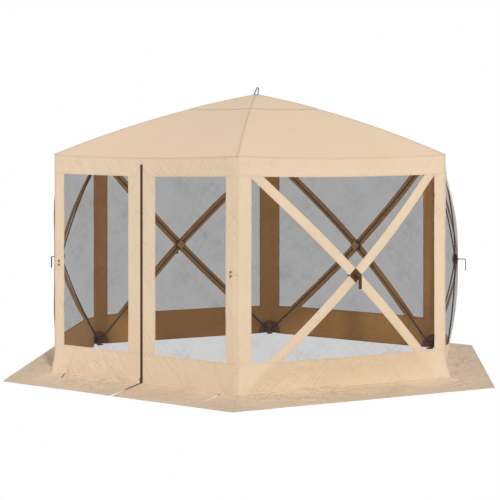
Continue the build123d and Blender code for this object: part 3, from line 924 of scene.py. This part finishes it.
def make_piping():
    """Cord sewn into the seam between wall and skirt, in one length for each stretch that moves together."""
    fold = fold_u(FOLD_RISE)
    flap_end, frame_end, zip_end = fold - 0.018, fold + 0.006, 0.013
    stretches = [(f"base_piping_{wall}", wall, -HALF, HALF, "root") for wall in HUB_WALLS]
    stretches.append(("base_piping_door_left", DOOR, -flap_end, -zip_end, "door_flap_left"))
    stretches.append(("base_piping_door_right", DOOR, zip_end, flap_end, "door_flap_right"))
    stretches.append(("base_piping_door_start", DOOR, -HALF, -frame_end, "root"))
    stretches.append(("base_piping_door_end", DOOR, frame_end, HALF, "root"))
    for name, wall, u0, u1, body in stretches:
        steps = max(4, round((u1 - u0) / 0.03))
        path = []
        for i in range(steps + 1):
            path.append(wall_point(wall, u0 + (u1 - u0) * i / steps, FOLD_RISE + 0.004, -PIPING_R))
        # The piping's lighter tan is a painted highlight along the seam.
        piece = tube(name, path, PIPING_R, TAN_ROOF_PAINTED_LIGHT)
        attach(piece, body)


def in_corner(wall, side):
    """Places flat points inside a wall, with x counted from the corner on one side of it."""
    return lambda x, y: wall_point(wall, side * (HALF - x), y, 0.0046)


def make_corner_patches():
    """Half-round reinforcing patches inside, over each lower corner: a quarter circle on either wall."""
    steps, base = 12, 0.006
    for wall in range(SIDES):
        radius = 0.105 if wall == DOOR else 0.125
        for side, name in ((-1, "start"), (1, "end")):
            outline = [(0.0, base)]
            for i in range(steps + 1):
                angle = math.pi / 2 * i / steps
                outline.append((radius * math.cos(angle), base + radius * math.sin(angle)))
            panels = [(flat_panel(outline, PATCH_STEP), in_corner(wall, side))]
            piece = cloth(f"corner_patch_{wall}_{name}", panels, [POCKET], thickness=0.0008, flip=side < 0)
            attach(piece, "root")
            declare(piece)


def roof_outline(inner, outer):
    """A roof panel between two shares of the way from the apex to the eave."""
    inner_half, outer_half = inner * HALF, outer * HALF
    return [
        (-inner_half, inner * APOTHEM),
        (inner_half, inner * APOTHEM),
        (outer_half, outer * APOTHEM),
        (-outer_half, outer * APOTHEM),
    ]


def on_roof(sector, lift=0.0):
    return lambda x, y: roof_point(sector, x, y, lift)


def follow_roof_hub(piece):
    weights = [roof_share(vert.co) for vert in piece.data.vertices]
    bend(piece, weights)


def make_roof():
    """The canopy, the cap sewn over its middle, and a binding along each hip."""
    eave_share, cap_lift, binding_r = 1.0015, 0.0035, 0.0022
    outline = roof_outline(CANOPY_START, eave_share)
    panels = [(flat_panel(outline, ROOF_STEP), on_roof(sector)) for sector in range(SIDES)]
    canopy = cloth("canopy_cloth", panels, ROOF_WITH_SHADED_UNDERSIDE, thickness=0.0015, flip=True, weld=True)
    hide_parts("roof_canopy")
    follow_roof_hub(canopy)
    declare(canopy)

    outline = roof_outline(CANOPY_START, CAP_SHARE)
    panels = [(flat_panel(outline, CAP_STEP), on_roof(sector, cap_lift)) for sector in range(SIDES)]
    cap = cloth("canopy_cap", panels, [TAN_ROOF_PAINTED_LIGHT, TAN_ROOF_PAINTED_LIGHT], thickness=0.0012, flip=True, weld=True)
    follow_roof_hub(cap)
    declare(cap)

    first_share, steps = 0.012, 80
    for sector in range(SIDES):
        path = []
        for i in range(steps + 1):
            share = first_share + (1.0 - first_share) * i / steps
            lift = 0.0012 if share > CAP_SHARE else 0.0048
            path.append(roof_point(sector, share * HALF, share * APOTHEM, lift))
        # Its darker tan is painted shade along the hip.
        binding = tube(f"hip_binding_{sector + 1}", path, binding_r, SEAM_PAINTED_SHADE, 6)
        follow_roof_hub(binding)


# ---------------------------------------------------------------- the frame's own pieces


def finish_cad(node, material):
    """Gives every material slot of a CAD node one finish."""
    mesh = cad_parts[node].data
    if not mesh.materials:
        mesh.materials.append(material)
    for i in range(len(mesh.materials)):
        mesh.materials[i] = material


# The finish of the CAD nodes whose names start with each of these.
FINISHES = {
    "wall_pole": POLE,
    "roof_pole": POLE,
    "wall_hub": NYLON,
    "roof_hub": NYLON,
    "lower_brackets": NYLON_FOOT,
    "upper_brackets": NYLON_BROWN,
    "pull_strap": WEBBING_BROWN,
    "roof_loop": WEBBING_BLACK,
    "zip_tape": ZIP,
    "zip_slider": NYLON_BROWN,
    "toggles": NYLON_BROWN,
}


def finish_frame():
    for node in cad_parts:
        for start, material in FINISHES.items():
            if node.startswith(start):
                finish_cad(node, material)


# ---------------------------------------------------------------- stage


SKY = 0.52  # strength of the white sky
WHITE = (1, 1, 1, 1)
# Name, kind, place, energy and size. A sun's size is its angle in degrees. The last one lights the brown inner
# faces.
LAMPS = (
    ("key", "SUN", (5.9, -5.4, 5.0), 1.72, 3),
    ("left_softbox", "AREA", (-2.6, -4.6, 0.95), 25, 1.9),
    ("right_softbox", "AREA", (5.2, 0.2, 0.95), 14, 1.9),
    ("inner_fill", "POINT", (0.2, -0.3, 1.25), 50, 0.5),
)
FLOOR_HALF = 40.0

LENS = 99.6  # in millimetres
SHIFT = (-0.0124, -0.2193)
CAMERA_AZIMUTH = math.radians(34.305)
CAMERA_DISTANCE = 12.07
CAMERA_HEIGHT = 1.934


def seen_white(tree, lit, plain, output):
    """Joins lit to the output for every ray but the camera's own, which sees plain."""
    path = tree.nodes.new("ShaderNodeLightPath")
    mix = tree.nodes.new("ShaderNodeMixShader")
    tree.links.new(path.outputs["Is Camera Ray"], mix.inputs[0])
    tree.links.new(lit, mix.inputs[1])
    tree.links.new(plain.outputs[0], mix.inputs[2])
    tree.links.new(mix.outputs[0], output.inputs["Surface"])


def make_stage():
    floor_mesh = bpy.data.meshes.new("studio_floor")
    corners = [(x, y, 0) for x, y in rectangle(-FLOOR_HALF, -FLOOR_HALF, FLOOR_HALF, FLOOR_HALF)]
    floor_mesh.from_pydata(corners, [], [(0, 1, 2, 3)])
    floor = bpy.data.objects.new("studio_floor", floor_mesh)
    bpy.context.scene.collection.objects.link(floor)
    white = Surface("floor_white")
    white.set(Base_Color=(0.8, 0.8, 0.8, 1), Roughness=0.9)
    plain = white.node("Emission")
    seen_white(white.tree, white.shader.outputs[0], plain, white.tree.nodes["Material Output"])
    floor_mesh.materials.append(white.material)

    world = bpy.data.worlds.new("studio")
    world.use_nodes = True
    sky = world.node_tree.nodes["Background"]
    sky.inputs["Color"].default_value = WHITE
    sky.inputs["Strength"].default_value = SKY
    plain = world.node_tree.nodes.new("ShaderNodeBackground")
    plain.inputs["Color"].default_value = WHITE
    seen_white(world.node_tree, sky.outputs[0], plain, world.node_tree.nodes["World Output"])
    bpy.context.scene.world = world

    for lamp in LAMPS:
        add_lamp(*lamp)


def add_lamp(name, kind, place, energy, size):
    """A studio lamp that points at the middle of the shelter."""
    data = bpy.data.lights.new(name, kind)
    data.energy = energy
    if kind == "SUN":
        data.angle = math.radians(size)
    elif kind == "AREA":
        data.size = size
    else:
        data.shadow_soft_size = size
    lamp = bpy.data.objects.new(name, data)
    lamp.location = place
    lamp.rotation_mode = "QUATERNION"
    lamp.rotation_quaternion = (Vector(place) - Vector((0, 0, HUB_Z))).to_track_quat("Z", "Y")
    lamp.visible_camera = False
    bpy.context.scene.collection.objects.link(lamp)


def make_camera():
    """A level camera, shifted down to frame the shelter as the photograph does."""
    data = bpy.data.cameras.new("camera")
    data.lens = LENS
    data.shift_x, data.shift_y = SHIFT
    camera = bpy.data.objects.new("camera", data)
    camera.location = (
        math.sin(CAMERA_AZIMUTH) * CAMERA_DISTANCE,
        -math.cos(CAMERA_AZIMUTH) * CAMERA_DISTANCE,
        CAMERA_HEIGHT,
    )
    camera.rotation_euler = (math.pi / 2, 0, CAMERA_AZIMUTH)
    bpy.context.scene.collection.objects.link(camera)
    bpy.context.scene.camera = camera


make_camera()
finish_frame()
for hub_wall in HUB_WALLS:
    make_hub_bands(hub_wall)
    make_hub_window(hub_wall)
    make_hub_trim(hub_wall)
make_door_frame()
for flap_side, flap_name in ((-1, "left"), (1, "right")):
    make_flap(flap_side, flap_name)
for tab_side, tab_name in ((-1, "left"), (1, "right")):
    make_toggle_tab(tab_side, tab_name)
make_skirt()
make_piping()
make_corner_patches()
make_roof()
make_stage()
bpy.context.scene.view_settings.view_transform = "Standard"
